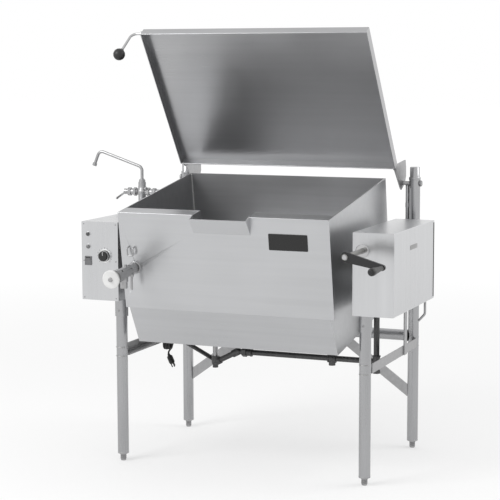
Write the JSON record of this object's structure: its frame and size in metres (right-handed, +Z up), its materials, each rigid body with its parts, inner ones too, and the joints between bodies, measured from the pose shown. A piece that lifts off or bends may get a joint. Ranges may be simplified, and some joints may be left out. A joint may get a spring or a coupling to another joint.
{
  "type": "tilting bratt pan",
  "caption": "Covered rectangular pan that tilts by a hand crank between two housings on a tube stand, with draw-off valve, hinged lid and swinging faucet.",
  "frame": {"origin": "middle of the machine's footprint box, on the floor", "axes": "+X to the right as the cook sees it, +Y to the rear, +Z up"},
  "size_m": [1.4012, 0.996, 1.5936],
  "materials": {
    "stainless": "brushed stainless steel sheet",
    "stainless_tube": "polished stainless steel tube",
    "plate_steel": "mill-finished stainless plate",
    "bright_metal": "polished chrome",
    "gear_steel": "machined carbon steel",
    "bronze": "bronze",
    "cast_iron": "grey cast iron",
    "gas_pipe": "black iron gas pipe",
    "crank_paint": "black paint",
    "black_plastic": "black phenolic",
    "grey_plastic": "grey plastic",
    "lamp_lens": "smoked lens",
    "black_plate": "black enamelled plate",
    "wheel_paint": "pale paint",
    "cord_rubber": "black rubber"
  },
  "bodies": {
    "stand": {"bracket_bolts": "plate_steel", "console_front_panel": "stainless", "console_shell": "stainless", "contactor": "black_plastic", "cord_gland": "black_plastic", "cord_hank": "cord_rubber", "faucet_body": "bright_metal", "front_left_leg": "stainless_tube", "front_right_leg": "stainless_tube", "gas_line": "gas_pipe", "gas_test_tap": "plate_steel", "gearbox_rear_cover": "stainless", "gearbox_shell": "stainless", "hinge_brackets": "plate_steel", "hinge_pins": "plate_steel", "housing_vent_tube": "plate_steel", "ignition_module": "grey_plastic", "knee_braces": "plate_steel", "leg_sockets": "plate_steel", "leveling_feet": "plate_steel", "lid_spring_tubes": "plate_steel", "pilot_lights": "lamp_lens", "post_caps": "stainless_tube", "power_cord": "cord_rubber", "power_plug": "cord_rubber", "rail_struts": "plate_steel", "rear_crossbeam": "stainless_tube", "rear_left_post": "stainless_tube", "rear_right_post": "stainless_tube", "side_rails": "plate_steel", "switch_body": "grey_plastic", "thermostat_bezel": "bright_metal", "thermostat_body": "gear_steel", "trunnion_bearings": "cast_iron", "worm_bearings": "cast_iron"},
    "pan": {"pan_vessel": "stainless", "pan_jacket": "stainless", "pan_shroud": "stainless", "burner_tubes": "plate_steel", "cooking_plate": "plate_steel", "name_plate": "black_plate", "strainer_hook": "bright_metal", "trunnions": "gear_steel", "worm_wheel": "bronze", "draw_off_pipe": "bright_metal", "valve_body": "bright_metal"},
    "lid": {"lid_panel": "stainless", "lid_ears": "plate_steel", "lid_handle": "bright_metal", "lid_knob": "black_plastic"},
    "crank": {"worm_shaft": "gear_steel", "crank_arm": "crank_paint"},
    "grip": {"crank_grip": "black_plastic"},
    "handwheel": {"valve_handwheel": "wheel_paint"},
    "plunger": {"valve_plunger": "bronze"},
    "thermostat": {"thermostat_knob": "black_plastic"},
    "rocker": {"switch_rocker": "grey_plastic"},
    "spout": {"faucet_spout": "bright_metal"},
    "left_lever": {"faucet_left_lever": "bright_metal"},
    "right_lever": {"faucet_right_lever": "bright_metal"}
  },
  "joints": [
    {"name": "pan_tilt", "type": "hinge", "parent": "stand", "child": "pan", "pos_m": [0.07552, 0.041, 0.761], "axis": [1, 0, 0], "range_deg": [0, 75]},
    {"name": "crank_turn", "type": "hinge", "parent": "stand", "child": "crank", "pos_m": [0.55952, -0.19, 0.836], "axis": [0, 1, 0], "range_deg": [0, 3000]},
    {"name": "grip_spin", "type": "hinge", "parent": "crank", "child": "grip", "pos_m": [0.68705, -0.435, 0.80609], "axis": [0, 1, 0], "continuous": true},
    {"name": "lid_hinge", "type": "hinge", "parent": "stand", "child": "lid", "pos_m": [0.07552, 0.367, 1.08], "axis": [-1, 0, 0], "range_deg": [-63.87, 10]},
    {"name": "valve_turn", "type": "hinge", "parent": "pan", "child": "handwheel", "pos_m": [-0.26948, -0.44046, 0.72937], "axis": [0, -0.9945, -0.1045], "range_deg": [0, 1080]},
    {"name": "valve_slide", "type": "slide", "parent": "pan", "child": "plunger", "axis": [0, -0.9945, -0.1045], "range_m": [0, 0.01001]},
    {"name": "knob_turn", "type": "hinge", "parent": "stand", "child": "thermostat", "pos_m": [-0.42648, -0.19, 0.774], "axis": [0, 1, 0], "range_deg": [0, 300]},
    {"name": "switch_rock", "type": "hinge", "parent": "stand", "child": "rocker", "pos_m": [-0.49348, -0.186, 0.754], "axis": [-1, 0, 0], "range_deg": [0, 14]},
    {"name": "spout_swing", "type": "hinge", "parent": "stand", "child": "spout", "pos_m": [-0.48448, 0.241, 0.972], "axis": [0, 0, 1], "range_deg": [-30, 125]},
    {"name": "left_lever_turn", "type": "hinge", "parent": "stand", "child": "left_lever", "pos_m": [-0.54448, 0.241, 0.972], "axis": [-1, 0, 0], "range_deg": [0, 90]},
    {"name": "right_lever_turn", "type": "hinge", "parent": "stand", "child": "right_lever", "pos_m": [-0.42448, 0.241, 0.972], "axis": [-1, 0, 0], "range_deg": [0, 90]}
  ],
  "couplings": [
    {"joint": "crank_turn", "follows": "pan_tilt", "ratio": 40},
    {"joint": "valve_slide", "follows": "valve_turn", "m_per_rad": 0.00053052}
  ]
}
